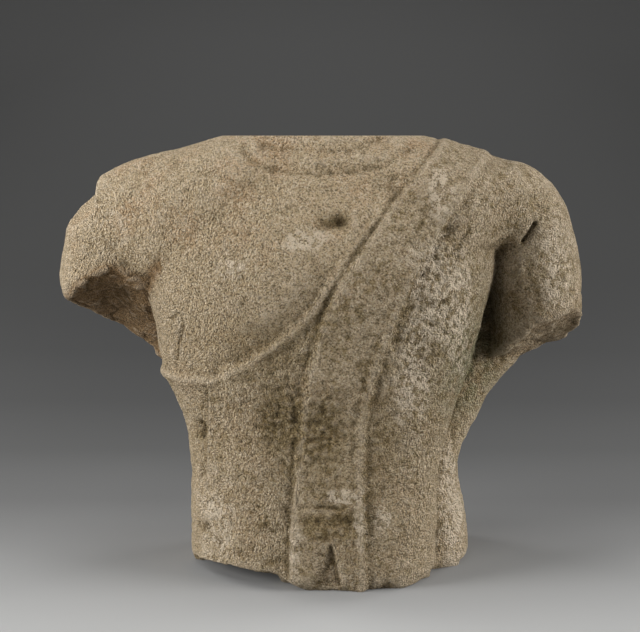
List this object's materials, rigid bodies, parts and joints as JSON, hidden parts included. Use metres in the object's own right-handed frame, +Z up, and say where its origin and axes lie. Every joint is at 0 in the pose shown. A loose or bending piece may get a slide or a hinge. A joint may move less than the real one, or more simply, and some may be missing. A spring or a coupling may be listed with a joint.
{
  "type": "stone torso sculpture",
  "caption": "Headless and armless sandstone torso in a one-shouldered robe with a folded sash, cut flat at the neck and standing on its broken waist.",
  "frame": {"origin": "middle of the block seen from above, on the plane that it stands on", "axes": "+Z up through the neck, +X towards the figure's own left shoulder, -Y the way the chest faces"},
  "size_m": [0.5306, 0.227, 0.429],
  "materials": {
    "sandstone": "weathered, coarse grained and matt"
  },
  "bodies": {
    "root": {"torso": "sandstone"}
  },
  "joints": []
}
